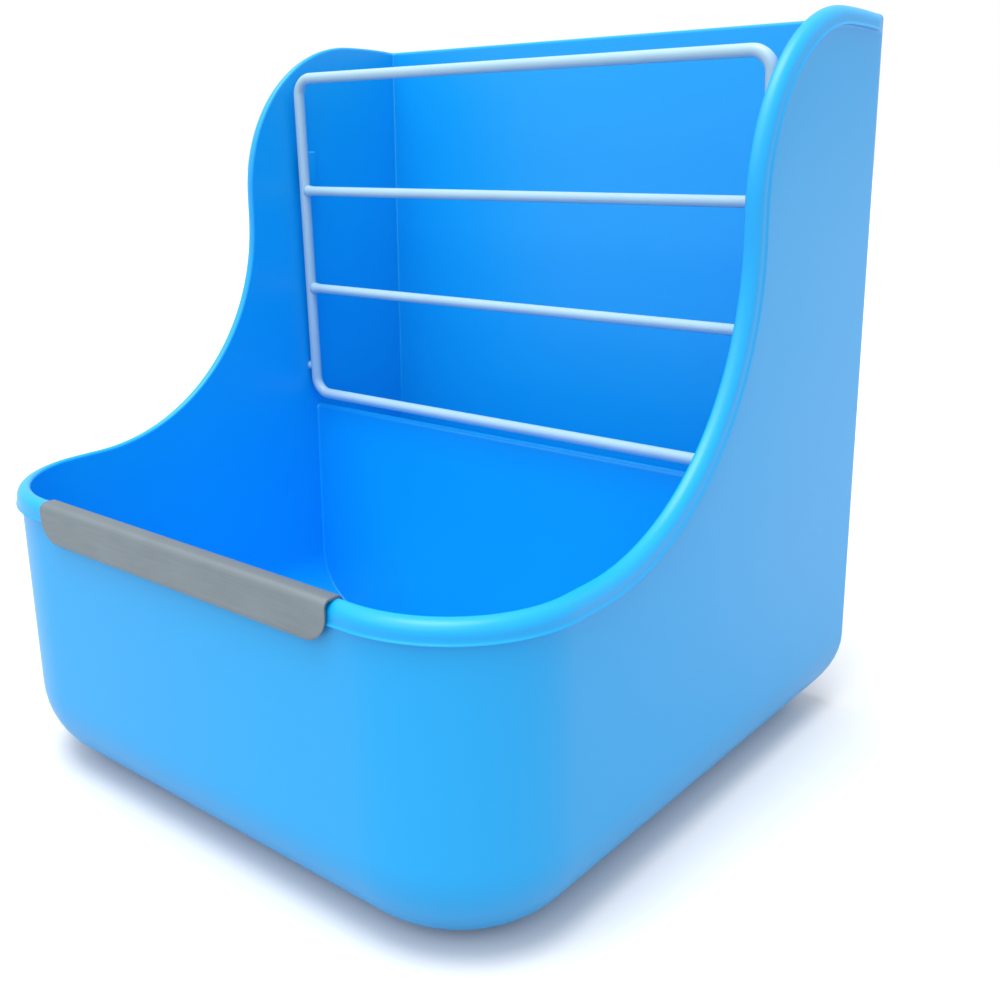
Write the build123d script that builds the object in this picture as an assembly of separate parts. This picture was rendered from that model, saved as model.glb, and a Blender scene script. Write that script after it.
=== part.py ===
"""Hanging rabbit feeder: a moulded tub with a food trough in front and a hay bay behind,
a wire rack that swings down between them, a metal chew guard over the front rim, and two
wire hooks that turn in sleeves on the back and hold the feeder on the wires of a cage.

Millimetres. X runs across (right is +X), the front faces -Y, Z is up. The origin is on
the floor, at the centre of the space that the feeder takes up.
"""
import os
from math import asin, atan2, cos, degrees, radians, sin, tan

from build123d import *

# Whole object
overall_width = 145.0
overall_depth = 150.0
overall_height = 160.0

# Moulded tub
wall = 2.2
floor_thickness = 2.6
side_draft = 0.7
front_draft = 2.0
back_draft = 0.4
front_corner = 26.0
bottom_radius = 18.0
back_corner = 2.5

# Rim line, seen from the side: level front, hollow sweep, short upright, round shoulder
front_height = 63.5
sweep_radius = 51.5
shoulder_radius = 38.5
shoulder_setback = 59.5
crown_radius = 200.0

# Bead round the rim
bead_proud = 1.2
bead_depth = 4.0
bead_round = 1.6

# Partition between the trough and the hay bay
bay_depth = 34.3
partition_height = 61.5
partition_edge_land = 0.1

# Wire rack and its pivots
frame_wire = 2.8
bar_wire = 2.5
rack_corner = 4.5
rack_below_top = 9.0
rack_over_partition = 2.6
rack_before_partition = 0.2
rack_lean = 2.3
rack_side_gap = 0.5
rack_bar_spacing = 26.5
pivot_wire = 2.4
pivot_rise = 7.5
socket_depth = 1.5
pivot_running = 0.06
pivot_end_gap = 0.2

# Ribs behind the upright wires of the rack, which stop it from swinging into the bay
stop_height = 10.0
stop_depth = 3.0
stop_below_top = 24.0
stop_gap = 0.3

# Chew guard
guard_length = 82.0
guard_sheet = 0.6
guard_gap = 0.05
guard_front_flange = 7.3
guard_inner_flange = 5.5
guard_corner = 5.0

# Cage hooks and their sleeves
hook_wire = 2.4
hook_running = 0.1
hook_spacing = 84.0
hook_throat = 5.1
hook_bend_land = 0.05
hook_foot_bend = 2.0
hook_foot = 6.0
hook_foot_gap = 0.5
hook_below_rim = 8.0
hook_free_leg = 9.0
sleeve_wall = 1.0
sleeve_width = 9.0
sleeve_height = 12.0
sleeve_to_bend = 13.0

# Places that follow from the sizes above
sleeve_bore = hook_wire / 2 + hook_running
sleeve_depth = 2 * (sleeve_bore + sleeve_wall)
tub_back = overall_depth / 2 - sleeve_depth
tub_front = -overall_depth / 2 + guard_sheet + guard_gap
body_front = tub_front + bead_proud
body_half_width = overall_width / 2 - bead_proud
shoulder_start = tub_back - shoulder_setback
crown_y = shoulder_start + shoulder_radius

partition_back = tub_back - wall - bay_depth
partition_front = partition_back - wall

frame_radius = frame_wire / 2
rack_top = overall_height - rack_below_top
rack_bottom = partition_height + rack_over_partition + frame_radius
rack_bottom_y = partition_front - rack_before_partition - frame_radius
rack_length = (rack_top - rack_bottom) / cos(radians(rack_lean))
overshoot = 10.0
rim_tolerance = 0.01


def half_width_at(z):
    """Half the outside width of the tub wall at a height, narrower towards the floor."""
    return body_half_width - (overall_height - z) * tan(radians(side_draft))


rack_half_width = half_width_at(rack_bottom - frame_radius) - wall - rack_side_gap - frame_radius


def level_outline(z, grow, back_grow, corner):
    """Level section of the tub, grown outward, with its two front corners rounded."""
    half = half_width_at(z) + grow
    front = body_front - grow + (front_height - z) * tan(radians(front_draft))
    back = tub_back + back_grow - (overall_height - z) * tan(radians(back_draft))
    outline = Pos(0, (front + back) / 2, z) * Rectangle(2 * half, back - front)
    return fillet(outline.vertices().group_by(Axis.Y)[0], corner)


def drafted_block(grow, back_grow, bottom, top, underside_round):
    """Solid block with the tub's drafted sides, rounded where the sides meet the floor."""
    corner = front_corner + grow
    sections = [level_outline(z, grow, back_grow, corner) for z in (bottom, top)]
    block = loft(sections, ruled=True)
    return fillet(block.faces().sort_by(Axis.Z)[0].edges(), underside_round)


def below_rim(drop):
    """Everything lower than the rim line moved inward by drop, as wide as the tub and more.

    The hollow sweep and the shoulder are joined by their common tangent. It is upright while
    the shoulder's centre is the higher one, and leans back where the sweep's is higher.
    """
    top_arc = crown_radius - drop
    reach = tub_back + overshoot - crown_y
    crown_turn = degrees(asin(reach / top_arc))
    front_y = -overall_depth / 2 - overshoot
    sweep_y = shoulder_start - sweep_radius
    sweep_z = front_height + sweep_radius
    shoulder_z = overall_height - shoulder_radius
    crown_z = overall_height - crown_radius
    lean = degrees(2 * atan2(max(sweep_z - shoulder_z, 0), sweep_radius + shoulder_radius))
    turn = 90 - lean
    with BuildSketch(Plane.YZ) as side:
        with BuildLine():
            front_edge = Line((front_y, -overshoot), (front_y, front_height - drop))
            level = Line(front_edge @ 1, (sweep_y, front_height - drop))
            hollow = CenterArc((sweep_y, sweep_z), sweep_radius + drop, -90, turn)
            shoulder = CenterArc((crown_y, shoulder_z), shoulder_radius - drop, 90 + turn, -turn)
            Line(hollow @ 1, shoulder @ 0)
            crown = CenterArc((crown_y, crown_z), top_arc, 90, -crown_turn)
            back_edge = Line(crown @ 1, (tub_back + overshoot, -overshoot))
            Line(back_edge @ 1, front_edge @ 0)
        make_face()
    return extrude(side.sketch, amount=overall_width, both=True)


def follows_rim(edge, rim_faces):
    """True for an outside edge of a block along the rim line, not for a line across its top."""
    middle = edge @ 0.5
    across = abs(middle.X) < front_corner and middle.Y > tub_front + front_corner
    return not across and min(face.distance_to(middle) for face in rim_faces) < rim_tolerance


def rim_bead():
    """Thicker band that follows the rim along the front and both sides, its top edge rounded."""
    rim = below_rim(0)
    rim_faces = rim.faces()
    block = drafted_block(bead_proud, 0, 0, overall_height + overshoot, bottom_radius) & rim
    edges = block.edges().filter_by(lambda edge: follows_rim(edge, rim_faces))
    block = fillet(edges, bead_round)
    in_front_of_back = Pos(0, tub_back - back_corner - overall_depth, 0) * Box(
        2 * overall_width, 2 * overall_depth, 4 * overall_height
    )
    return (block & in_front_of_back) - below_rim(bead_depth)


def hook_x(side):
    """Centre of a hook's upright leg: side is -1 on the left and 1 on the right."""
    return side * hook_spacing / 2


hook_leg_y = tub_back + sleeve_depth / 2
hook_span = hook_throat + hook_wire
hook_bend_z = overall_height - hook_below_rim - hook_wire / 2 - hook_span / 2
sleeve_top = hook_bend_z - sleeve_to_bend
sleeve_bottom = sleeve_top - sleeve_height


def hook_sleeve(side):
    """Upright sleeve moulded on the back wall, drilled through for the hook's leg."""
    root = wall / 2 + (overall_height - sleeve_bottom) * tan(radians(back_draft))
    depth = sleeve_depth + root
    centre_y = tub_back + sleeve_depth - depth / 2
    centre_z = sleeve_bottom + sleeve_height / 2
    block = Pos(hook_x(side), centre_y, centre_z) * Box(sleeve_width, depth, sleeve_height)
    return fillet(block.edges().filter_by(Axis.Z).group_by(Axis.Y)[-1], sleeve_depth / 3)


def sleeve_hole(side):
    """Bore of a sleeve."""
    centre_z = sleeve_bottom + sleeve_height / 2
    return Pos(hook_x(side), hook_leg_y, centre_z) * Cylinder(sleeve_bore, sleeve_height + overshoot)


pivot_lean = radians(rack_lean)
pivot_z = rack_bottom + pivot_rise * cos(pivot_lean)
pivot_y = rack_bottom_y - pivot_rise * sin(pivot_lean)
pivot_wall = half_width_at(pivot_z) - wall


def pivot_socket(side):
    """Blind socket in a side wall, a running fit on the pivot pin of the rack."""
    start = pivot_wall - overshoot
    end = pivot_wall + socket_depth
    bore = Rot(0, 90, 0) * Cylinder(pivot_wire / 2 + pivot_running, end - start)
    return Pos(side * (start + end) / 2, pivot_y, pivot_z) * bore


def rack_y_at(z):
    """Middle of the rack at a height: it leans a little forward towards its top."""
    return rack_bottom_y - (z - rack_bottom) * tan(pivot_lean)


def stop_rib(side):
    """Small rib on a side wall, just behind an upright wire of the rack."""
    middle_z = rack_top - stop_below_top
    back_of_wire = rack_y_at(middle_z - stop_height / 2) + frame_radius / cos(pivot_lean)
    inner = rack_half_width
    outer = half_width_at(middle_z) - wall / 2
    centre = Pos(side * (inner + outer) / 2, back_of_wire + stop_gap + stop_depth / 2, middle_z)
    return centre * Box(outer - inner, stop_depth, stop_height)


def partition():
    """Upright wall from side to side, with a rounded top edge."""
    rise = partition_height - floor_thickness / 2
    middle_z = partition_height - rise / 2
    plate = Pos(0, partition_front + wall / 2, middle_z) * Box(overall_width, wall, rise)
    top_edges = plate.faces().sort_by(Axis.Z)[-1].edges().filter_by(Axis.X)
    plate = fillet(top_edges, wall / 2 - partition_edge_land)
    half_wall = wall / 2
    middle_of_walls = drafted_block(
        -half_wall, -half_wall, floor_thickness / 2, overall_height, bottom_radius - half_wall
    )
    return plate & middle_of_walls


def tub():
    """One moulding: walls, floor, partition, rim bead, stop ribs and hook sleeves."""
    block = drafted_block(0, 0, 0, overall_height + overshoot, bottom_radius)
    back_edges = block.edges().filter_by(lambda e: e.length > overall_height / 2).group_by(Axis.Y)[-1]
    block = fillet(back_edges, back_corner)
    cavity_round = bottom_radius - wall
    cavity = drafted_block(-wall, -wall, floor_thickness, overall_height + overshoot, cavity_round)
    moulding = block & below_rim(0)
    moulding += rim_bead()
    moulding -= cavity
    moulding += partition()
    for side in (-1, 1):
        moulding += stop_rib(side)
        moulding += hook_sleeve(side)
        moulding -= sleeve_hole(side)
        moulding -= pivot_socket(side)
    return moulding


rack_plane = Plane(
    origin=(0, rack_bottom_y, rack_bottom),
    x_dir=(1, 0, 0),
    z_dir=(0, -cos(pivot_lean), -sin(pivot_lean)),
)


def rack_frame():
    """Closed wire frame with rounded corners, leaning in the rack's plane."""
    outline = Pos(0, rack_length / 2) * RectangleRounded(2 * rack_half_width, rack_length, rack_corner)
    path = rack_plane * outline.wire()
    start = path @ 0
    section = Plane(origin=start, z_dir=path % 0) * Circle(frame_radius)
    return sweep(section, path=path)


def rack_bar(side, frame):
    """Cross bar below or above the middle of the frame, its ends shaped to the upright wires."""
    rise = rack_length / 2 + side * rack_bar_spacing / 2
    bar = rack_plane * Pos(0, rise, 0) * Rot(0, 90, 0) * Cylinder(bar_wire / 2, 2 * rack_half_width)
    return bar - frame


def rack_pivot(side, frame):
    """Short pin welded to the outside of an upright wire, which turns in the wall's socket."""
    end = pivot_wall + socket_depth - pivot_end_gap
    length = end - rack_half_width
    pin = Rot(0, 90, 0) * Cylinder(pivot_wire / 2, length)
    return Pos(side * (rack_half_width + length / 2), pivot_y, pivot_z) * pin - frame


def chew_guard():
    """Folded metal strip over the front rim, between the two front corners."""
    lean = tan(radians(front_draft))
    top = front_height + guard_gap + guard_sheet
    bead_face = tub_front - guard_gap
    inner_face = body_front + wall + guard_gap
    front_low = front_height - guard_front_flange
    inner_low = front_height - guard_inner_flange
    front_shift = (front_height - front_low) * lean
    inner_shift = (front_height - inner_low) * lean
    with BuildSketch(Plane.YZ) as section:
        with BuildLine():
            Polyline(
                (bead_face - guard_sheet + front_shift, front_low),
                (bead_face - guard_sheet, top),
                (inner_face + guard_sheet, top),
                (inner_face + guard_sheet + inner_shift, inner_low),
                (inner_face + inner_shift, inner_low),
                (inner_face, top - guard_sheet),
                (bead_face, top - guard_sheet),
                (bead_face + front_shift, front_low),
                close=True,
            )
        make_face()
        fillet(section.vertices().group_by(Axis.Y)[-1], guard_sheet)
    strip = extrude(section.sketch, amount=guard_length / 2, both=True)
    height = top - front_low
    face = Pos(0, (top + front_low) / 2) * Rectangle(guard_length, height)
    face = fillet(face.vertices().group_by(Axis.Y)[0], guard_corner)
    return strip & extrude(Plane.XZ * face, amount=overall_depth, both=True)


def cage_hook(side):
    """Bent wire: a foot under the sleeve, a leg through it, and a hook that folds inward."""
    inward = -side
    x = hook_x(side)
    foot_z = sleeve_bottom - hook_foot_gap - hook_foot_bend
    top_z = hook_bend_z + hook_span / 2
    bend = hook_span / 2 - hook_bend_land
    with BuildLine() as path:
        FilletPolyline(
            (x + inward * hook_foot, hook_leg_y, foot_z),
            (x, hook_leg_y, foot_z),
            (x, hook_leg_y, top_z),
            (x + inward * hook_span, hook_leg_y, top_z),
            (x + inward * hook_span, hook_leg_y, hook_bend_z - hook_free_leg),
            radius=[hook_foot_bend, bend, bend],
        )
    line = path.wire()
    section = Plane(origin=line @ 0, z_dir=line % 0) * Circle(hook_wire / 2)
    return sweep(section, path=line)


frame = rack_frame()
nodes = {"tub": tub(), "rack_frame": frame}
for side, name in ((-1, "lower"), (1, "upper")):
    nodes["rack_bar_" + name] = rack_bar(side, frame)
for side, name in ((-1, "left"), (1, "right")):
    nodes["rack_pivot_" + name] = rack_pivot(side, frame)
    nodes["cage_hook_" + name] = cage_hook(side)
nodes["chew_guard"] = chew_guard()

os.makedirs("parts", exist_ok=True)
for name, piece in nodes.items():
    export_step(piece, f"parts/{name}.step")
    print(name, round(piece.volume, 1), piece.bounding_box())
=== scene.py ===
"""Hanging rabbit feeder: a sky-blue moulded tub with a hay bay behind a coated wire rack,
a folded steel chew guard on the front rim, and zinc-plated wire hooks on the back.
"""

import bpy
import numpy as np
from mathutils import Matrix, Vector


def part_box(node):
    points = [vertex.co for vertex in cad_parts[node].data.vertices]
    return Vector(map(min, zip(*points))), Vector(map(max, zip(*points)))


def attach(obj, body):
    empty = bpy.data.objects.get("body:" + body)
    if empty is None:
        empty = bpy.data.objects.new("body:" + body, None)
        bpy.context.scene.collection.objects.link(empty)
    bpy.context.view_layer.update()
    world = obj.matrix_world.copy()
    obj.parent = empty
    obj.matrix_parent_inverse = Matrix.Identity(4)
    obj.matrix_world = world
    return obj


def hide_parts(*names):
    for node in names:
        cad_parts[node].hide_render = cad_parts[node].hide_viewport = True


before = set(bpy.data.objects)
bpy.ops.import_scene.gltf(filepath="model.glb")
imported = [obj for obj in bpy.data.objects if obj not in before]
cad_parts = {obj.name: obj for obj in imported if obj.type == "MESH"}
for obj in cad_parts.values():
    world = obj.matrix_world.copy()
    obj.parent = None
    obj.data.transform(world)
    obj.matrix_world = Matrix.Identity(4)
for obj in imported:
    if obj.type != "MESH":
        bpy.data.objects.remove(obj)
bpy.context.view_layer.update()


# The tub is one injection moulding in glossy polypropylene: drafted walls, a big round
# along the floor, and a thicker bead along the rim that stiffens it. The rim is level at
# the front, sweeps up beside the trough and ends in a round shoulder over the hay bay.
mm = 0.001
tub_box = [np.array(corner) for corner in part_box("tub")]
rim_top = tub_box[1][2]
tub_width = 145.0 * mm
wall = 2.2 * mm
floor_thickness = 2.6 * mm
side_draft = np.tan(np.radians(0.7))
front_draft = np.tan(np.radians(2.0))
back_draft = np.tan(np.radians(0.4))
front_corner = 26.0 * mm
back_corner = 2.5 * mm
inner_back_corner = 0.4 * mm
floor_round = 18.0 * mm
bead_proud = 1.2 * mm
bead_depth = 4.0 * mm
front_height = 63.5 * mm
sweep_radius = 51.5 * mm
shoulder_radius = 38.5 * mm
crown_radius = 200.0 * mm
sleeve_depth = 4.6 * mm
guard_stack = 0.65 * mm
shoulder_setback = 59.5 * mm
part_front = -75.0 * mm
tub_back = tub_box[1][1] - sleeve_depth
body_front = part_front + guard_stack + bead_proud
shoulder_y = tub_back - shoulder_setback
crown_y = shoulder_y + shoulder_radius


def half_width(z):
    """Half the width over the walls: it narrows towards the floor by the side draft."""
    return tub_width / 2 - bead_proud - (rim_top - z) * side_draft


def front_face(z):
    """Front of the body at a height: it leans back towards the floor by the front draft."""
    return body_front + (front_height - z) * front_draft


def back_face(z):
    """Back of the body at a height: it leans in towards the floor by the back draft."""
    return tub_back - (rim_top - z) * back_draft


def rim_line(count, back_end):
    """Side view of the rim from its back end to the front corner, evenly spaced along its
    length: a flat crown arc, a shoulder arc, a short upright, a hollow sweep arc and a level
    run. Gives the points (y, z) and the directions square to the rim that point into the wall."""
    front_end = front_face(front_height) + front_corner
    crown_start = np.arccos((back_end - crown_y) / crown_radius)
    sweep_y = shoulder_y - sweep_radius
    sweep_z = front_height + sweep_radius
    shoulder_z = rim_top - shoulder_radius
    quarter = np.pi / 2
    lengths = np.array([
        crown_radius * (quarter - crown_start),
        shoulder_radius * quarter,
        shoulder_z - sweep_z,
        sweep_radius * quarter,
        sweep_y - front_end,
    ])
    ends = np.concatenate([[0.0], np.cumsum(lengths)])
    along = np.linspace(0.0, ends[-1], count)
    stretch = np.clip(np.searchsorted(ends, along, side="right") - 1, 0, 4)
    run = along - ends[stretch]
    turns = [
        crown_start + run / crown_radius,
        quarter + run / shoulder_radius,
        np.full(count, 2 * quarter),
        -run / sweep_radius,
        np.full(count, -quarter),
    ]
    angle = np.choose(stretch, turns)
    out = np.stack([np.cos(angle), np.sin(angle)], 1)
    centres = np.array([
        [crown_y, rim_top - crown_radius],
        [crown_y, shoulder_z],
        [crown_y, 0.0],
        [sweep_y, sweep_z],
        [0.0, sweep_z],
    ])[stretch]
    radii = np.array([crown_radius, shoulder_radius, shoulder_radius, sweep_radius, sweep_radius])
    points = centres + radii[stretch][:, None] * out
    upright, sweep, level = 2, 3, 4
    points[stretch == upright, 1] = shoulder_z - run[stretch == upright]
    points[stretch == level, 0] = sweep_y - run[stretch == level]
    inward = np.where((stretch < sweep)[:, None], -out, out)
    return points, inward


def turned_outward(vertices, faces):
    """The faces, flipped if the signed volume of the closed skin is negative."""
    a, b, c, d = (vertices[faces[:, k]] for k in range(4))
    volume = np.einsum("ij,ij->", a, np.cross(b, c)) + np.einsum("ij,ij->", a, np.cross(c, d))
    return faces if volume > 0 else faces[:, ::-1]


def skin(name, rings, closed=False):
    """Closed skin through rings of points [ring, point, xyz], each joined to the next. Unless
    the last ring joins the first, each end is closed by a ladder of faces across its ring."""
    rings = np.asarray(rings, dtype=float)
    ring_count, size, _ = rings.shape
    index = np.arange(ring_count * size).reshape(ring_count, size)
    lower = index if closed else index[:-1]
    upper = np.roll(index, -1, 0) if closed else index[1:]
    quads = [lower, np.roll(lower, -1, 1), np.roll(upper, -1, 1), upper]
    faces = np.stack(quads, 2).reshape(-1, 4)
    if not closed:
        rung = np.arange(size // 2 - 1)
        ladder = np.stack([rung, rung + 1, size - 2 - rung, size - 1 - rung], 1)
        last = index[-1][0] + ladder
        faces = np.concatenate([faces, ladder[:, ::-1], last])
    vertices = rings.reshape(-1, 3)
    mesh = bpy.data.meshes.new(name)
    mesh.from_pydata(vertices.tolist(), [], turned_outward(vertices, faces).tolist())
    mesh.polygons.foreach_set("use_smooth", np.ones(len(mesh.polygons), dtype=bool))
    mesh.update()
    piece = bpy.data.objects.new(name, mesh)
    bpy.context.scene.collection.objects.link(piece)
    return piece


def rim_section(proud, outer_round, inner_round):
    """Section of the rim as depths below its top and growth out from the wall's outside: up
    over a thin lip at the bead's foot, in to its face, over a rounded top and down the inside.
    The lip's points are shares of the bead's depth and of how proud it stands, and so are the
    face's place and foot. The face and the inside end just short of the rounds."""
    turn = np.linspace(0, np.pi / 2, 9)
    lip = np.array([
        [1.12, 0.0],
        [1.04, 0.06],
        [1.0, 0.3],
        [0.99, 0.85],
        [0.965, 1.0],
        [0.94, 0.98],
        [0.88, 0.82],
        [0.85, 0.78],
    ])
    face_share, face_foot, face_top, inside_top = 0.76, 0.82, 1.02, 1.2
    lip = lip * [bead_depth, proud]
    face_growth = proud * face_share
    face_depths = np.linspace(bead_depth * face_foot, outer_round * face_top, 3)
    face = np.stack([face_depths, np.full(3, face_growth)], 1)
    outer = np.stack([
        outer_round * (1 - np.sin(turn)),
        face_growth - outer_round * (1 - np.cos(turn)),
    ], 1)
    inner = np.stack([
        inner_round * (1 - np.cos(turn)),
        inner_round * (1 - np.sin(turn)) - wall,
    ], 1)
    inside_depths = np.linspace(inner_round * inside_top, bead_depth, 4)
    inside = np.stack([inside_depths, np.full(4, -wall)], 1)
    return np.concatenate([lip, face, outer, inner, inside])


def tub_shell():
    """Rings round the tub, from the middle of its underside out, up the outside, over the rim,
    down the inside and in to the middle of the trough floor. Half of each ring is worked out,
    from the middle of the back to the middle of the front, and the other half mirrors it. The
    bead grows from nothing in the first part of the side, next to the back corner."""
    side_count, wall_rows, bead_parts, crowding = 160, 26, 48, 1.36
    bead_outer_round, bead_inner_round, plain_round = 2.4 * mm, 0.7 * mm, 0.9 * mm
    circle_radius, floor_shares = 9.0 * mm, (0.4, 0.7, 0.92)
    turn = np.linspace(0, np.pi / 2, 15)
    back_run = np.linspace(0, 1, 20)[:-1]
    back_turn = np.linspace(np.pi / 2, 0, 10)[:-1]
    front_turn = np.linspace(0, -np.pi / 2, 34)[1:]
    front_run = np.linspace(1, 0, 20)[1:]
    bead_share = np.clip(np.linspace(0, bead_parts, side_count), 0, 1)
    bead_share = bead_share * bead_share * (3 - 2 * bead_share)

    def ring(side, flat_z, back_z, growth, plain_growth, back_round):
        """Whole ring, from the side wall's points (y, z), the heights of the front and the back,
        the growth with and without the bead, and the radius in the back corner."""
        side_y, side_z = side.T
        side_end = half_width(back_z) + plain_growth - back_round
        back_end = back_face(back_z) + plain_growth - back_round
        parts = [
            (side_end * back_run, np.full(len(back_run), back_end + back_round), back_z),
            (
                side_end + back_round * np.cos(back_turn),
                back_end + back_round * np.sin(back_turn),
                side_z[0] + (back_z - side_z[0]) * np.sin(back_turn),
            ),
        ]
        grown = plain_growth + (growth - plain_growth) * bead_share
        parts.append((half_width(side_z) + grown, side_y, side_z))
        centre_x = half_width(flat_z) - front_corner
        centre_y = front_face(flat_z) + front_corner
        corner = front_corner + growth
        corner_x = centre_x + corner * np.cos(front_turn)
        corner_y = centre_y + corner * np.sin(front_turn)
        parts.append((corner_x, corner_y, flat_z))
        parts.append((centre_x * front_run, np.full(len(front_run), centre_y - corner), flat_z))
        half = np.concatenate([
            np.stack([x, y, np.broadcast_to(z, x.shape)], 1) for x, y, z in parts
        ])
        other = half[1:-1][::-1] * [-1, 1, 1]
        return np.roll(np.concatenate([half, other]), len(half) - 1, 0)

    def level_ring(z, growth, back_round):
        """Ring at one height. Its side points crowd towards the back, so that the lines from
        them up to the rim lean back everywhere and never cross below the shoulder."""
        share = np.linspace(0, 1, side_count) ** crowding
        back_end = back_face(z) + growth - back_round
        front_end = front_face(z) + front_corner
        side_y = back_end + (front_end - back_end) * share
        side = np.stack([side_y, np.full(side_count, z)], 1)
        return ring(side, z, z, growth, growth, back_round)

    def rim_ring(depth, growth, plain_growth, plain_depth):
        """Ring that follows the rim at a depth below it. The radius in the back corner changes
        from the outside of the wall to its inside."""
        across = np.clip(-plain_growth / wall, 0, 1)
        back_round = back_corner + (inner_back_corner - back_corner) * across
        back_y = back_face(rim_top) + plain_growth
        rim, inward = rim_line(side_count, back_y - back_round)
        share = bead_share[:, None]
        side = rim + inward * (depth * share + plain_depth * (1 - share))
        crown = rim_top - crown_radius + np.sqrt(crown_radius**2 - (back_y - crown_y) ** 2)
        return ring(
            side, front_height - depth, crown - plain_depth, growth, plain_growth, back_round
        )

    beaded = rim_section(bead_proud, bead_outer_round, bead_inner_round)
    plain = rim_section(0.0, plain_round, plain_round)
    over_rim = [rim_ring(b[0], b[1], p[1], p[0]) for b, p in zip(beaded, plain)]
    inner_round = floor_round - wall

    def round_rings(level, radius, growth, back_round):
        """Rings of the big round from the floor up to the wall."""
        rises, insets = radius * (1 - np.cos(turn)), radius * (1 - np.sin(turn))
        return [level_ring(level + r, growth - i, back_round) for r, i in zip(rises, insets)]

    def wall_rings(low, high):
        """Rings between the top of the floor's round and the rim's section."""
        shares = np.linspace(0, 1, wall_rows)[1:-1, None, None]
        return list(low + (high - low) * shares)

    def floor_rings(edge):
        """Rings drawn in to the middle of the floor. The innermost is a circle, so that no
        points of the faces across it lie in line."""
        middle = edge.mean(0)
        spread = edge - middle
        circle = middle + spread / np.linalg.norm(spread, axis=1)[:, None] * circle_radius
        return [circle] + [middle + spread * share for share in floor_shares]

    outer_rings = round_rings(0.0, floor_round, 0.0, back_corner)
    inner_rings = round_rings(floor_thickness, inner_round, -wall, inner_back_corner)
    rings = floor_rings(outer_rings[0])
    rings += outer_rings
    rings += wall_rings(outer_rings[-1], over_rim[0])
    rings += over_rim
    rings += wall_rings(inner_rings[-1], over_rim[-1])[::-1]
    rings += inner_rings[::-1]
    rings += floor_rings(inner_rings[0])[::-1]
    return skin("tub_shell", rings)


def linear(hex_colour):
    """A colour written as sRGB hex, as the linear values that a shader takes."""
    value = np.array([int(hex_colour[k:k + 2], 16) for k in (1, 3, 5)]) / 255
    low = value <= 0.04045
    value = np.where(low, value / 12.92, ((value + 0.055) / 1.055) ** 2.4)
    return (*value.tolist(), 1.0)


def add_node(material, kind, settings=None, **inputs):
    """One shader node: its settings, and its sockets set to values or linked to outputs."""
    tree = material.node_tree
    made = tree.nodes.new(kind)
    for name, value in (settings or {}).items():
        setattr(made, name, value)
    for name, value in inputs.items():
        socket = made.inputs[int(name[1:]) if name[1:].isdigit() else name.replace("_", " ")]
        if isinstance(value, bpy.types.NodeSocket):
            tree.links.new(value, socket)
        else:
            socket.default_value = value
    return made


def empty_material(name):
    """A material with only its output."""
    material = bpy.data.materials.new(name)
    material.use_nodes = True
    material.node_tree.nodes.clear()
    return material


def moulded_polypropylene():
    """Injection-moulded polypropylene, sky blue: glossy, a little softened by the tool's
    polish, with faint flow clouding and the slight ripple of a thin moulded wall."""
    material = empty_material("moulded_polypropylene")
    flow_size, peel_size = 55 * mm, 1.6 * mm
    place = add_node(material, "ShaderNodeTexCoord").outputs["Object"]
    flow = add_node(material, "ShaderNodeTexNoise", Vector=place, Scale=1 / flow_size, Detail=3.0)
    peel = add_node(material, "ShaderNodeTexNoise", Vector=place, Scale=1 / peel_size, Detail=2.0)
    colour = add_node(
        material, "ShaderNodeMix", {"data_type": "RGBA"},
        Factor=flow.outputs["Fac"], _6=linear("#00a4f0"), _7=linear("#00abf4"),
    )
    rough = add_node(
        material, "ShaderNodeMapRange",
        Value=flow.outputs["Fac"], From_Min=0.0, From_Max=1.0, To_Min=0.34, To_Max=0.44,
    )
    grain = add_node(
        material, "ShaderNodeBump",
        Height=peel.outputs["Fac"], Strength=0.15, Distance=0.02 * mm,
    )
    shader = add_node(
        material, "ShaderNodeBsdfPrincipled",
        Base_Color=colour.outputs[2], Roughness=rough.outputs["Result"],
        Normal=grain.outputs["Normal"], IOR=1.49,
    )
    add_node(material, "ShaderNodeOutputMaterial", Surface=shader.outputs["BSDF"])
    return material


polypropylene = moulded_polypropylene()


def finish(piece, body, material, slot, *nodes):
    """The piece gets its material, rides on its body and stands for its nodes."""
    piece.data.materials.append(material)
    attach(piece, body)
    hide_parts(*nodes)


finish(tub_shell(), "tub", polypropylene, "moulded_plastic", "tub")


# The partition keeps the food out of the hay bay. It is part of the same moulding, so it
# meets the walls in a tight round and the floor in a wider one, and has a rounded top edge.
partition_height = 61.5 * mm
bay_depth = 34.3 * mm
partition_middle = tub_back - wall - bay_depth - wall / 2


def inner_half_width(z):
    """Half the inside width, with the big round at the floor."""
    radius = floor_round - wall
    rise = np.clip(1 - (z - floor_thickness) / radius, 0, 1)
    return half_width(z) - wall - radius * (1 - np.sqrt(1 - rise**2))


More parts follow.
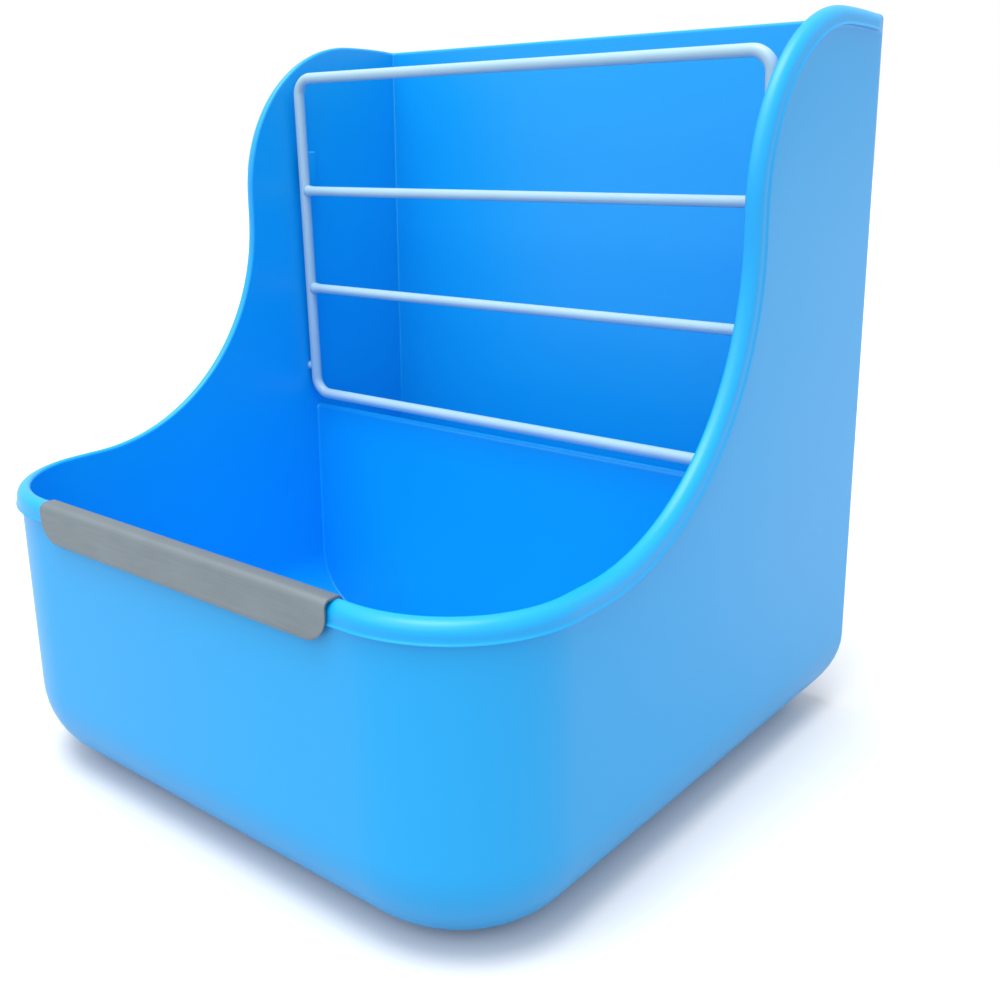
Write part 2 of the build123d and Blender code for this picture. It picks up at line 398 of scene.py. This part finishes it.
def partition():
    """Rings across the tub, each a closed section of the plate from its foot up the front,
    over the rounded edge and down the back, wider where it meets the walls and the floor."""
    wall_flare, floor_flare, root, edge = 0.5 * mm, 1.6 * mm, 1.0 * mm, wall / 2
    share = np.sin(np.linspace(-np.pi / 2, np.pi / 2, 121))
    rise = 1 - np.cos(np.linspace(0, np.pi / 2, 24))
    low = floor_thickness - root
    foot = low + (partition_height - edge - low) * rise
    turn = np.linspace(0, np.pi, 14)[1:-1]
    heights = np.concatenate([foot, partition_height - edge + edge * np.sin(turn), foot[::-1]])
    sides = np.concatenate([-np.ones(len(foot)), -np.cos(turn), np.ones(len(foot))])

    def rounded(gap, flare):
        """Extra half thickness near a face that the plate grows out of: a quarter round."""
        near = np.clip(1 - gap / flare, 0, 1)
        return flare * (1 - np.sqrt(1 - near**2))

    reach = inner_half_width(heights) + root
    x = share[:, None] * reach
    to_wall = np.clip(reach - root - np.abs(x), 0, None)
    to_floor = np.clip(heights - floor_thickness, 0, None)
    half = wall / 2 + np.maximum(rounded(to_wall, wall_flare), rounded(to_floor, floor_flare))
    y = partition_middle + sides * half
    return skin("tub_partition", np.stack([x, y, np.broadcast_to(heights, x.shape)], 2))


finish(partition(), "tub", polypropylene, "moulded_plastic", "tub")


# Two small ribs inside the side walls stand behind the rack's upright wires, so that the
# hay can't push the rack back into the bay. They are part of the moulding.
frame_box = [np.array(corner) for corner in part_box("rack_frame")]
frame_radius = 1.4 * mm
rack_half = frame_box[1][0] - frame_radius
rack_low = frame_box[0][2] + frame_radius
rack_high = frame_box[1][2] - frame_radius
rack_lean = np.radians(2.3)
rack_low_y = frame_box[1][1] - frame_radius


def rack_y(z):
    """Middle of the leaning rack at a height."""
    return rack_low_y - (z - rack_low) * np.tan(rack_lean)


def rounded_block(name, low, high, edge):
    """Block whose level rings are rounded rectangles, drawn in at its top and foot."""
    low, high = np.array(low), np.array(high)
    turn = np.linspace(0, np.pi / 2, 6)
    corners = np.concatenate([turn, turn + np.pi / 2, turn + np.pi, turn + 1.5 * np.pi])
    around = np.stack([np.cos(corners), np.sin(corners)], 1)
    centre = (low + high) / 2
    half = (high - low) / 2
    signs = np.repeat([[1, 1], [-1, 1], [-1, -1], [1, -1]], len(turn), 0)
    insets = edge * (1 - np.sin(turn))
    rises = edge * (1 - np.cos(turn))
    levels = np.concatenate([low[2] + rises, high[2] - rises[::-1]])
    insets = np.concatenate([insets, insets[::-1]])
    rings = []
    least_radius = edge * 0.05
    for level, inset in zip(levels, insets):
        radius = max(edge - inset, least_radius)
        flat = centre[:2] + signs * (half[:2] - inset - radius) + around * radius
        rings.append(np.column_stack([flat, np.full(len(flat), level)]))
    return skin(name, rings)


def stop_rib(side, name):
    """One rib, from inside the side wall to behind the upright wire."""
    below_top, height, depth, gap, edge = 24 * mm, 10 * mm, 3 * mm, 0.3 * mm, 0.6 * mm
    middle = rack_high - below_top
    near = rack_y(middle - height / 2) + frame_radius / np.cos(rack_lean) + gap
    ends = sorted([side * rack_half, side * (half_width(middle) - wall / 2)])
    low = [ends[0], near, middle - height / 2]
    high = [ends[1], near + depth, middle + height / 2]
    return rounded_block("tub_stop_rib_" + name, low, high, edge)


for side, name in ((-1, "left"), (1, "right")):
    finish(stop_rib(side, name), "tub", polypropylene, "moulded_plastic", "tub")


# The rack is welded from steel wire and dipped in a pale grey-white coating. The coating
# draws small fillets at the welds, where the cross bars meet the upright wires.
def coated_wire():
    """Dip-coated wire: satin and a cool pale grey, with the faint ripple of the coating."""
    material = empty_material("white_coated_wire")
    cloud_size, ripple_size = 14 * mm, 1.4 * mm
    place = add_node(material, "ShaderNodeTexCoord").outputs["Object"]
    cloud = add_node(material, "ShaderNodeTexNoise", Vector=place, Scale=1 / cloud_size, Detail=2.0)
    ripple = add_node(material, "ShaderNodeTexNoise", Vector=place, Scale=1 / ripple_size, Detail=1.0)
    colour = add_node(
        material, "ShaderNodeMix", {"data_type": "RGBA"},
        Factor=cloud.outputs["Fac"], _6=linear("#a0c4d8"), _7=linear("#adcfe2"),
    )
    dip = add_node(
        material, "ShaderNodeBump", Height=ripple.outputs["Fac"], Strength=0.3, Distance=0.06 * mm,
    )
    shader = add_node(
        material, "ShaderNodeBsdfPrincipled",
        Base_Color=colour.outputs[2], Roughness=0.36, Normal=dip.outputs["Normal"], IOR=1.5,
    )
    add_node(material, "ShaderNodeOutputMaterial", Surface=shader.outputs["BSDF"])
    return material


def wire(name, path, across, radius, closed=False):
    """Round wire: a circle carried square along a path that lies in a plane, across being the
    direction square to that plane. The radius may differ from point to point."""
    path = np.asarray(path, dtype=float)
    across = np.asarray(across, dtype=float)
    if closed:
        heading = np.roll(path, -1, 0) - np.roll(path, 1, 0)
    else:
        heading = np.gradient(path, axis=0)
    heading /= np.linalg.norm(heading, axis=1)[:, None]
    beside = np.cross(heading, across)
    sides = 20
    around = ((np.arange(sides) + 0.5) / sides * 2 * np.pi)[None, :, None]
    radius = np.broadcast_to(radius, len(path))[:, None, None]
    circle = np.cos(around) * across + np.sin(around) * beside[:, None, :]
    return skin(name, path[:, None, :] + radius * circle, closed)


rack_across = np.array([0.0, -np.cos(rack_lean), -np.sin(rack_lean)])
rack_up = np.array([0.0, -np.sin(rack_lean), np.cos(rack_lean)])
rack_origin = np.array([0.0, rack_low_y, rack_low])
rack_length = (rack_high - rack_low) / np.cos(rack_lean)


def on_rack(x, rise):
    """Point in the rack's plane, x across and rise up from the bottom wire."""
    x, rise = np.asarray(x)[..., None], np.asarray(rise)[..., None]
    return rack_origin + x * [1.0, 0.0, 0.0] + rise * rack_up


def rack_frame():
    """Closed rectangle of wire: straight runs joined by quarter turns of the bending radius."""
    bend = 4.5 * mm
    turn = np.linspace(0, np.pi / 2, 15)
    centre_x, low, high = rack_half - bend, bend, rack_length - bend
    starts = [
        (centre_x, high, 0.0),
        (-centre_x, high, 0.5),
        (-centre_x, low, 1.0),
        (centre_x, low, 1.5),
    ]
    corners = [
        (x + bend * np.cos(turn + k * np.pi), z + bend * np.sin(turn + k * np.pi))
        for x, z, k in starts
    ]
    x = np.concatenate([corner[0] for corner in corners])
    rise = np.concatenate([corner[1] for corner in corners])
    x, rise = filled(x, rise)
    return wire("rack_frame_wire", on_rack(x, rise), rack_across, frame_radius, closed=True)


def filled(x, rise):
    """The closed path with points about a step apart on its straight runs too."""
    step = 3 * mm
    next_x, next_rise = np.roll(x, -1), np.roll(rise, -1)
    pieces = []
    for start, end in zip(np.stack([x, rise], 1), np.stack([next_x, next_rise], 1)):
        count = max(int(np.linalg.norm(end - start) / step), 1)
        pieces.append(start + (end - start) * np.arange(count)[:, None] / count)
    path = np.concatenate(pieces)
    return path[:, 0], path[:, 1]


def rack_bar(name, rise):
    """Cross bar from the middle of one upright wire to the middle of the other. Its radius
    swells in a bell curve where the coating fills the weld, and is drawn in inside the wire."""
    bar_radius, swell, reach, hidden_radius = 1.25 * mm, 0.3 * mm, 1.1 * mm, 0.9 * mm
    length, stations = 2 * rack_half, 90
    along = length * (0.5 - 0.5 * np.cos(np.linspace(0, np.pi, stations)))
    gap = np.minimum(along, length - along) - frame_radius
    radius = bar_radius + swell * np.exp(-(np.clip(gap, 0, None) / reach) ** 2)
    radius = np.where(gap < -frame_radius / 2, hidden_radius, radius)
    path = on_rack(along - rack_half, np.full(stations, rise))
    return wire(name, path, rack_across, radius)


def rack_pin(side, name):
    """Pivot pin from the upright wire into the side wall, with a small chamfer at its end."""
    rise, inside_wire, pin_radius, end_share, stations = 7.5 * mm, 0.4 * mm, 1.2 * mm, 0.8, 16
    end = np.abs(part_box("rack_pivot_" + name)[1 if side > 0 else 0][0])
    along = np.linspace(rack_half + inside_wire, end, stations)
    radius = np.full(stations, pin_radius)
    radius[-1] *= end_share
    path = on_rack(side * along, np.full(stations, rise))
    return wire("rack_pin_" + name, path, rack_across, radius)


coating = coated_wire()
finish(rack_frame(), "rack", coating, "coated_wire", "rack_frame")
for name in ("lower", "upper"):
    low, high = (np.array(corner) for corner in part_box("rack_bar_" + name))
    rise = ((low[2] + high[2]) / 2 - rack_low) / np.cos(rack_lean)
    finish(rack_bar("rack_cross_bar_" + name, rise), "rack", coating, "coated_wire", "rack_bar_" + name)
for side, name in ((-1, "left"), (1, "right")):
    finish(rack_pin(side, name), "rack", coating, "coated_wire", "rack_pivot_" + name)


# The chew guard is a strip of thin steel folded over the front rim, so that the rabbit
# can't gnaw the plastic. Its long front flange has rounded lower corners.
def satin_steel():
    """Cold-rolled steel strip: dull grey metal with rolling lines along its length. Real lines
    are finer: these are as coarse as they need to be to show."""
    material = empty_material("satin_rolled_steel")
    line_size, mark_size, drawn_out = 0.35 * mm, 9 * mm, 0.04
    place = add_node(material, "ShaderNodeTexCoord").outputs["Object"]
    squeezed = add_node(material, "ShaderNodeMapping", Vector=place, Scale=(drawn_out, 1.0, 1.0))
    lines = add_node(
        material, "ShaderNodeTexNoise",
        Vector=squeezed.outputs["Vector"], Scale=1 / line_size, Detail=2.0,
    )
    marks = add_node(material, "ShaderNodeTexNoise", Vector=place, Scale=1 / mark_size, Detail=4.0)
    colour = add_node(
        material, "ShaderNodeMix", {"data_type": "RGBA"},
        Factor=marks.outputs["Fac"], _6=linear("#7d878d"), _7=linear("#899399"),
    )
    rough = add_node(
        material, "ShaderNodeMapRange",
        Value=lines.outputs["Fac"], From_Min=0.3, From_Max=0.7, To_Min=0.6, To_Max=0.7,
    )
    grooves = add_node(
        material, "ShaderNodeBump", Height=lines.outputs["Fac"], Strength=0.12, Distance=0.03 * mm,
    )
    shader = add_node(
        material, "ShaderNodeBsdfPrincipled",
        Base_Color=colour.outputs[2], Metallic=1.0, Roughness=rough.outputs["Result"],
        Normal=grooves.outputs["Normal"],
    )
    add_node(material, "ShaderNodeOutputMaterial", Surface=shader.outputs["BSDF"])
    return material


def chew_guard():
    """Rings along the strip, each a closed section of the folded sheet: up the front flange,
    round two bends over the rim and down the inner flange, then back along its inside."""
    low, high = (np.array(corner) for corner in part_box("chew_guard"))
    sheet, gap, bend, corner = 0.6 * mm, 0.05 * mm, 1.3 * mm, 5.0 * mm
    half = (high[0] - low[0]) / 2
    top = high[2] - sheet / 2
    front = part_front + sheet / 2
    inner = body_front + wall + gap + sheet / 2
    front_flange, inner_flange, inner_corner_share = 7.3 * mm, 5.5 * mm, 0.6
    ends = half - corner * (1 - np.cos(np.linspace(0, np.pi / 2, 12)))
    middle = np.linspace(-1, 1, 60)[1:-1] * ends[-1]
    stations = np.concatenate([-ends, middle, ends[::-1]])
    turn = np.linspace(0, np.pi / 2, 9)
    rings = []
    for x in stations:
        over = max(abs(x) - (half - corner), 0.0)
        lift = corner - np.sqrt(max(corner**2 - over**2, 0.0))
        inner_lift = lift * inner_corner_share
        rise = np.linspace(front_height - front_flange + lift, top - bend, 8)
        fall = np.linspace(top - bend, front_height - inner_flange + inner_lift, 7)
        lean_front = (front_height - rise) * front_draft
        lean_inner = (front_height - fall) * front_draft
        y = np.concatenate([
            front + lean_front,
            front + bend * (1 - np.cos(turn[1:-1])),
            inner - bend * (1 - np.sin(turn[1:-1])),
            inner + lean_inner,
        ])
        z = np.concatenate([
            rise,
            top - bend * (1 - np.sin(turn[1:-1])),
            top - bend * (1 - np.cos(turn[1:-1])),
            fall,
        ])
        line = np.stack([y, z], 1)
        heading = np.gradient(line, axis=0)
        heading /= np.linalg.norm(heading, axis=1)[:, None]
        out = np.stack([-heading[:, 1], heading[:, 0]], 1) * sheet / 2
        section = np.concatenate([line + out, (line - out)[::-1]])
        rings.append(np.column_stack([np.full(len(section), x), section]))
    return skin("chew_guard_strip", rings)


finish(chew_guard(), "tub", satin_steel(), "guard_steel", "chew_guard")


# The cage hooks are bent from zinc-plated steel wire. Each turns in a sleeve moulded on the
# back wall, with a foot under the sleeve, and folds flat against the wall for packing.
def zinc_plate():
    """Zinc-plated wire: bright grey metal, with the slight clouding of the plating."""
    material = empty_material("zinc_plated_wire")
    cloud_size = 3 * mm
    place = add_node(material, "ShaderNodeTexCoord").outputs["Object"]
    cloud = add_node(material, "ShaderNodeTexNoise", Vector=place, Scale=1 / cloud_size, Detail=3.0)
    colour = add_node(
        material, "ShaderNodeMix", {"data_type": "RGBA"},
        Factor=cloud.outputs["Fac"], _6=linear("#b4b8bb"), _7=linear("#cfd2d4"),
    )
    rough = add_node(
        material, "ShaderNodeMapRange",
        Value=cloud.outputs["Fac"], From_Min=0.3, From_Max=0.7, To_Min=0.26, To_Max=0.4,
    )
    shader = add_node(
        material, "ShaderNodeBsdfPrincipled",
        Base_Color=colour.outputs[2], Metallic=1.0, Roughness=rough.outputs["Result"],
    )
    add_node(material, "ShaderNodeOutputMaterial", Surface=shader.outputs["BSDF"])
    return material


hook_radius = 1.2 * mm
hook_span = 7.5 * mm
hook_spacing = 84.0 * mm


def cage_hook(side, name):
    """Wire from the foot's tip round its bend, up the leg, round the half turn and down the
    free leg, with a domed tip at each end."""
    low, high = (np.array(corner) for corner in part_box("cage_hook_" + name))
    leg_x = side * hook_spacing / 2
    leg_y = (low[1] + high[1]) / 2
    foot_bend, foot_length, free_length = 2.0 * mm, 6.0 * mm, 9.0 * mm
    foot_z = low[2] + hook_radius
    bend = hook_span / 2
    bend_z = high[2] - hook_radius - bend
    free_end = bend_z - free_length
    small = np.linspace(-np.pi / 2, 0, 10)
    large = np.linspace(0, np.pi, 30)
    out = np.concatenate([
        np.linspace(foot_length, foot_bend, 6)[:-1],
        foot_bend * (1 - np.cos(small)),
        np.zeros(12),
        bend * (1 - np.cos(large)),
        np.full(10, hook_span),
    ])
    up = np.concatenate([
        np.full(5, foot_z),
        foot_z + foot_bend * (1 + np.sin(small)),
        np.linspace(foot_z + foot_bend, bend_z, 14)[1:-1],
        bend_z + bend * np.sin(large),
        np.linspace(bend_z, free_end, 11)[1:],
    ])
    path = np.stack([leg_x - side * out, np.full(len(out), leg_y), up], 1)
    path, radius = domed(hook_radius, path)
    return wire("cage_hook_wire_" + name, path, [0.0, 1.0, 0.0], radius)


def domed(end_radius, path):
    """Wire path whose two ends are drawn into half domes: extra points, and all the radii. The
    tips keep a small share of the radius, so that they close over a face."""
    tip_share = 0.08
    turn = np.linspace(0, np.pi / 2, 6)[1:]
    first = (path[0] - path[1]) / np.linalg.norm(path[0] - path[1])
    last = (path[-1] - path[-2]) / np.linalg.norm(path[-1] - path[-2])
    start = path[0] - first * end_radius
    end = path[-1] - last * end_radius
    head = start + first * (end_radius * np.sin(turn))[::-1, None]
    tail = end + last * (end_radius * np.sin(turn))[:, None]
    radii = np.maximum(end_radius * np.cos(turn), end_radius * tip_share)
    inner = path[1:-1]
    radius = np.concatenate([radii[::-1], np.full(len(inner), end_radius), radii])
    return np.concatenate([head, inner, tail]), radius


def hook_sleeve(side, name):
    """Rings up the outside of a sleeve, in over its rounded top edge, down its bore and out
    under its foot. Each ring is a rounded rectangle outside and a circle in the bore, with its
    points on the same lines out from the hook's leg."""
    low, high = (np.array(corner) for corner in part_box("cage_hook_" + name))
    leg_x, leg_y = side * hook_spacing / 2, (low[1] + high[1]) / 2
    height, width, back_round, root_round = 12.0 * mm, 9.0 * mm, 1.53 * mm, 0.2 * mm
    edge, lip, bore, foot_gap = 0.5 * mm, 0.25 * mm, 1.3 * mm, 1.3 * mm
    bottom = low[2] + 2 * hook_radius + foot_gap
    root_y, back_y = tub_back - wall / 2, tub_box[1][1]
    turn = np.linspace(0, np.pi / 2, 7)
    quarter = np.concatenate([turn + k * np.pi / 2 for k in range(4)])
    around = np.stack([np.cos(quarter), np.sin(quarter)], 1)
    signs = np.repeat([[1, 1], [-1, 1], [-1, -1], [1, -1]], len(turn), 0)
    corner = np.repeat([back_round, back_round, root_round, root_round], len(turn))[:, None]
    middle = np.array([0.0, (root_y + back_y) / 2 - leg_y])
    half = np.array([width / 2, (back_y - root_y) / 2])

    def outside(inset):
        """The rounded rectangle, drawn in by inset."""
        radius = np.maximum(corner - inset, edge / 20)
        return middle + signs * (half - inset - radius) + around * radius

    def bored(growth):
        """The bore's circle, wider by growth."""
        spread = outside(0.0)
        return spread / np.linalg.norm(spread, axis=1)[:, None] * (bore + growth)

    curve = np.linspace(0, np.pi / 2, 6)
    flats = [outside(edge * (1 - np.cos(a))) for a in curve]
    flats += [bored(lip * (1 - np.sin(a))) for a in curve]
    depths = np.concatenate([edge * (1 - np.sin(curve)), lip * (1 - np.cos(curve))])
    flats = np.array(flats + flats[::-1])
    levels = np.concatenate([bottom + height - depths, (bottom + depths)[::-1]])
    levels = np.broadcast_to(levels[:, None, None], flats.shape[:2] + (1,))
    rings = np.concatenate([flats + [leg_x, leg_y], levels], 2)
    return skin("tub_hook_sleeve_" + name, rings, closed=True)


zinc = zinc_plate()
for side, name in ((-1, "left"), (1, "right")):
    finish(cage_hook(side, name), name + "_hook", zinc, "zinc_wire", "cage_hook_" + name)
    finish(hook_sleeve(side, name), "tub", polypropylene, "moulded_plastic", "tub")


# Plain studio: a pale floor, and soft light from above, from the front and from the right.
# The floor and the world are white where they are seen, and greyer in the light they give.
from mathutils import Matrix, Vector


def seen_as(material_or_world, lighting, shown):
    """A value that is one number for the light it gives and another where it is seen straight,
    in a reflection or through glass."""
    rays = add_node(material_or_world, "ShaderNodeLightPath").outputs
    seen = add_node(
        material_or_world, "ShaderNodeMath", {"operation": "MAXIMUM"},
        _0=rays["Is Camera Ray"], _1=rays["Is Glossy Ray"],
    )
    seen = add_node(
        material_or_world, "ShaderNodeMath", {"operation": "MAXIMUM"},
        _0=seen.outputs["Value"], _1=rays["Is Transmission Ray"],
    )
    return add_node(
        material_or_world, "ShaderNodeMix", Factor=seen.outputs["Value"], _2=lighting, _3=shown,
    ).outputs[0]


def studio_plane(name, size):
    """Square floor at the foot of the feeder, which keeps the feeder's shadow."""
    lighting, shown = 0.45, 0.85
    mesh = bpy.data.meshes.new(name)
    corners = np.array([[-1, -1, 0], [1, -1, 0], [1, 1, 0], [-1, 1, 0]]) * size / 2
    mesh.from_pydata(corners.tolist(), [], [[0, 1, 2, 3]])
    plane = bpy.data.objects.new(name, mesh)
    bpy.context.scene.collection.objects.link(plane)
    material = empty_material(name + "_paint")
    shade = seen_as(material, lighting, shown)
    paint = add_node(material, "ShaderNodeCombineColor", Red=shade, Green=shade, Blue=shade)
    shader = add_node(material, "ShaderNodeBsdfDiffuse", Color=paint.outputs["Color"])
    add_node(material, "ShaderNodeOutputMaterial", Surface=shader.outputs["BSDF"])
    mesh.materials.append(material)


def soft_light(name, place, spread, strength):
    """Lamp far out in a direction, as wide as spread in degrees, so that its shadows are soft.
    The strength is the part of full white that it gives a surface that faces it."""
    lamp = bpy.data.lights.new(name, "SUN")
    lamp.angle = np.radians(spread)
    lamp.energy = strength * np.pi
    light = bpy.data.objects.new(name, lamp)
    bpy.context.scene.collection.objects.link(light)
    light.rotation_euler = Vector(place).to_track_quat("Z", "Y").to_euler()


floor_size, sky_lighting, sky_shown = 6.0, 0.68, 1.0
studio_plane("studio_floor", floor_size)
world = bpy.data.worlds.new("studio")
bpy.context.scene.world = world
world.use_nodes = True
world.node_tree.nodes.clear()
sky = add_node(
    world, "ShaderNodeBackground",
    Color=linear("#ffffff"), Strength=seen_as(world, sky_lighting, sky_shown),
)
add_node(world, "ShaderNodeOutputWorld", Surface=sky.outputs["Background"])
soft_light("top_light", (0.0, -0.15, 1.0), 36, 0.68)
soft_light("front_light", (0.03, -0.65, 0.75), 60, 0.37)
soft_light("right_light", (0.8, -0.3, 0.5), 60, 0.07)

view_settings = bpy.context.scene.view_settings
view_settings.view_transform = "Standard"


# The camera stands in front of the right-hand corner, a little above the rim, as in the
# photograph.
def photo_camera():
    """Camera from its place, its heading, tilt and roll in degrees, and its focal length
    and picture centre in the photograph's pixels."""
    place = np.array([171.4, -201.7, 138.0]) * mm
    heading, tilt, roll = np.radians([42.64, 10.92, 1.40])
    focal, centre_x, centre_y, frame_width, sensor = 1207.4, 380.0, 360.0, 1000.0, 36.0
    nearest = 0.01
    forward = np.array([
        -np.sin(heading) * np.cos(tilt),
        np.cos(heading) * np.cos(tilt),
        -np.sin(tilt),
    ])
    level = np.array([np.cos(heading), np.sin(heading), 0.0])
    down = np.cross(forward, level)
    right = np.cos(roll) * level + np.sin(roll) * down
    down = np.cos(roll) * down - np.sin(roll) * level
    lens = bpy.data.cameras.new("photo_camera")
    lens.sensor_width = sensor
    lens.lens = focal / frame_width * sensor
    lens.shift_x = (frame_width / 2 - centre_x) / frame_width
    lens.shift_y = (centre_y - frame_width / 2) / frame_width
    lens.clip_start = nearest
    camera = bpy.data.objects.new("photo_camera", lens)
    bpy.context.scene.collection.objects.link(camera)
    turn = np.eye(4)
    turn[:3, 0] = right
    turn[:3, 1] = -down
    turn[:3, 2] = -forward
    turn[:3, 3] = place
    camera.matrix_world = Matrix(turn.tolist())
    bpy.context.scene.camera = camera


photo_camera()
